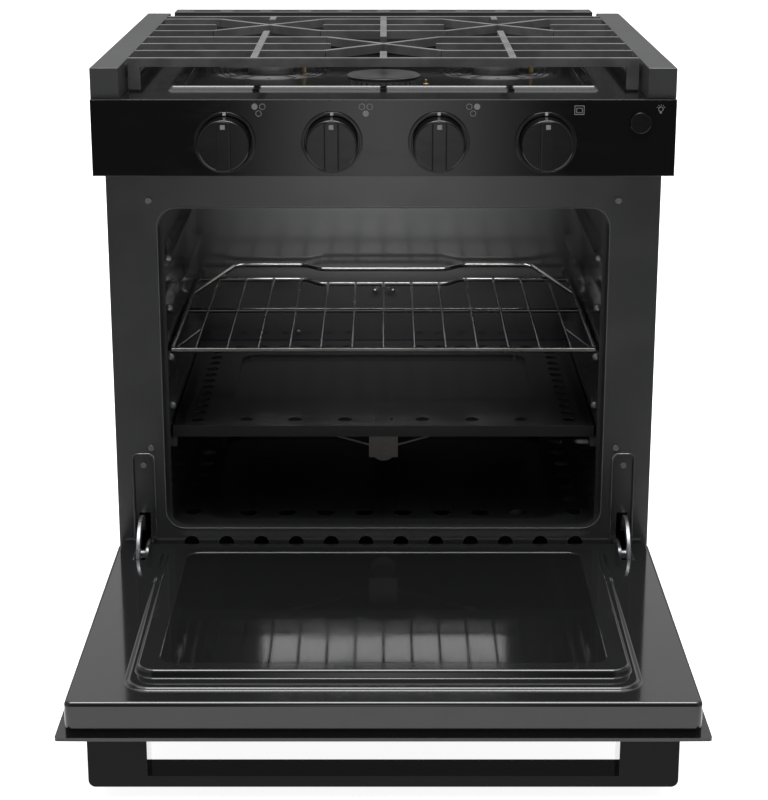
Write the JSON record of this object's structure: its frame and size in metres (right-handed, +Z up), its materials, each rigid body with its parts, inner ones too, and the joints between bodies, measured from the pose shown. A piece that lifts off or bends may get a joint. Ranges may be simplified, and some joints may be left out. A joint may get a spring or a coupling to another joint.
{
  "type": "gas range",
  "caption": "Slide-in gas range with a cast grate over burners, push-and-turn knobs, and a drop-down door on an oven with a sliding wire rack.",
  "frame": {"origin": "middle of the body's footprint on the surface it stands on, at the underside of the base pan", "axes": "+Z up, -Y towards the front (the door and knobs), +X to the right seen from the front"},
  "size_m": [0.533, 0.843, 0.5634],
  "materials": {
    "frame_enamel": "satin dark grey porcelain enamel",
    "side_enamel": "satin black paint",
    "oven_enamel": "gloss black porcelain enamel",
    "cooktop_enamel": "high-gloss black porcelain enamel",
    "trim_enamel": "satin dark grey paint",
    "panel_gloss": "gloss black",
    "door_gloss": "opaque black glass",
    "door_enamel": "gloss dark grey porcelain enamel",
    "window_glass": "dark tinted glass",
    "handle_gloss": "gloss black paint on metal",
    "knob_gloss": "semi-gloss black",
    "rack_chrome": "bright chrome-plated wire",
    "grate_iron": "matte enamelled cast iron",
    "cap_enamel": "matte enamel",
    "burner_steel": "dull steel sheet and tube",
    "burner_aluminium": "cast and drawn aluminium",
    "zinc_steel": "bright zinc plate",
    "galvanised": "galvanised sheet",
    "black_screws": "black oxide screws",
    "brass_fittings": "turned brass",
    "glass_wool": "glass wool",
    "foot_rubber": "matte rubber"
  },
  "bodies": {
    "range_body": {"base_pan": "galvanised", "side_panel_left": "side_enamel", "side_panel_right": "side_enamel", "back_panel": "galvanised", "front_frame": "frame_enamel", "kick_panel": "side_enamel", "oven_side_left": "oven_enamel", "oven_side_right": "oven_enamel", "oven_top": "oven_enamel", "oven_back": "oven_enamel", "oven_floor": "oven_enamel", "heat_spreader": "oven_enamel", "oven_burner": "burner_steel", "flame_shield": "burner_steel", "oven_pilot": "zinc_steel", "thermostat_bulb": "zinc_steel", "insulation_wrap": "glass_wool", "cooktop": "cooktop_enamel", "side_trim_left": "trim_enamel", "side_trim_right": "trim_enamel", "vent_riser": "trim_enamel", "control_panel": "panel_gloss", "knob_bezels": "knob_gloss", "burner_head_front": "burner_aluminium", "burner_heads_rear": "burner_aluminium", "burner_cap_front": "cap_enamel", "burner_caps_rear": "cap_enamel", "igniters": "brass_fittings", "gas_manifold": "galvanised", "gas_valves": "brass_fittings", "pressure_regulator": "zinc_steel", "supply_tubes": "burner_aluminium", "hinge_brackets": "zinc_steel", "hinge_pins": "zinc_steel", "frame_screws": "black_screws"},
    "door": {"door_glass": "door_gloss", "door_liner": "door_enamel", "door_window": "window_glass", "door_channels": "galvanised", "door_insulation": "glass_wool", "door_handle": "handle_gloss", "handle_screws": "zinc_steel", "hinge_arms": "zinc_steel", "window_clips": "zinc_steel"},
    "rack": {"oven_rack": "rack_chrome"},
    "grate": {"cooking_grate": "grate_iron", "grate_feet": "foot_rubber"},
    "button": {"light_button": "knob_gloss"},
    "plunger_1": {"valve_plunger_1": "zinc_steel"},
    "dial_1": {"knob_1": "knob_gloss", "valve_stem_1": "brass_fittings"},
    "plunger_2": {"valve_plunger_2": "zinc_steel"},
    "dial_2": {"knob_2": "knob_gloss", "valve_stem_2": "brass_fittings"},
    "plunger_3": {"valve_plunger_3": "zinc_steel"},
    "dial_3": {"knob_3": "knob_gloss", "valve_stem_3": "brass_fittings"},
    "plunger_4": {"valve_plunger_4": "zinc_steel"},
    "dial_4": {"knob_4": "knob_gloss", "valve_stem_4": "brass_fittings"}
  },
  "joints": [
    {"name": "door_hinge", "type": "hinge", "parent": "range_body", "child": "door", "pos_m": [0, -0.237, 0.083], "axis": [1, 0, 0], "range_deg": [-90, 0]},
    {"name": "rack_slide", "type": "slide", "parent": "range_body", "child": "rack", "axis": [0, -1, 0], "range_m": [0, 0.2]},
    {"name": "grate_lift", "type": "slide", "parent": "range_body", "child": "grate", "axis": [0, 0, 1], "range_m": [0, 0.05]},
    {"name": "knob_1_push", "type": "slide", "parent": "range_body", "child": "plunger_1", "axis": [0, 1, 0], "range_m": [0, 0.003], "stiffness_N_per_m": 800},
    {"name": "knob_1_turn", "type": "hinge", "parent": "plunger_1", "child": "dial_1", "pos_m": [-0.14445, -0.285, 0.4923], "axis": [0, 1, 0], "range_deg": [-210, 0]},
    {"name": "knob_2_push", "type": "slide", "parent": "range_body", "child": "plunger_2", "axis": [0, 1, 0], "range_m": [0, 0.003], "stiffness_N_per_m": 800},
    {"name": "knob_2_turn", "type": "hinge", "parent": "plunger_2", "child": "dial_2", "pos_m": [-0.04695, -0.285, 0.4923], "axis": [0, 1, 0], "range_deg": [-210, 0]},
    {"name": "knob_3_push", "type": "slide", "parent": "range_body", "child": "plunger_3", "axis": [0, 1, 0], "range_m": [0, 0.003], "stiffness_N_per_m": 800},
    {"name": "knob_3_turn", "type": "hinge", "parent": "plunger_3", "child": "dial_3", "pos_m": [0.05055, -0.285, 0.4923], "axis": [0, 1, 0], "range_deg": [-210, 0]},
    {"name": "knob_4_push", "type": "slide", "parent": "range_body", "child": "plunger_4", "axis": [0, 1, 0], "range_m": [0, 0.003], "stiffness_N_per_m": 800},
    {"name": "knob_4_turn", "type": "hinge", "parent": "plunger_4", "child": "dial_4", "pos_m": [0.14805, -0.285, 0.4923], "axis": [0, 1, 0], "range_deg": [-270, 0]},
    {"name": "light_button_push", "type": "slide", "parent": "range_body", "child": "button", "axis": [0, 1, 0], "range_m": [0, 0.002], "stiffness_N_per_m": 800}
  ]
}
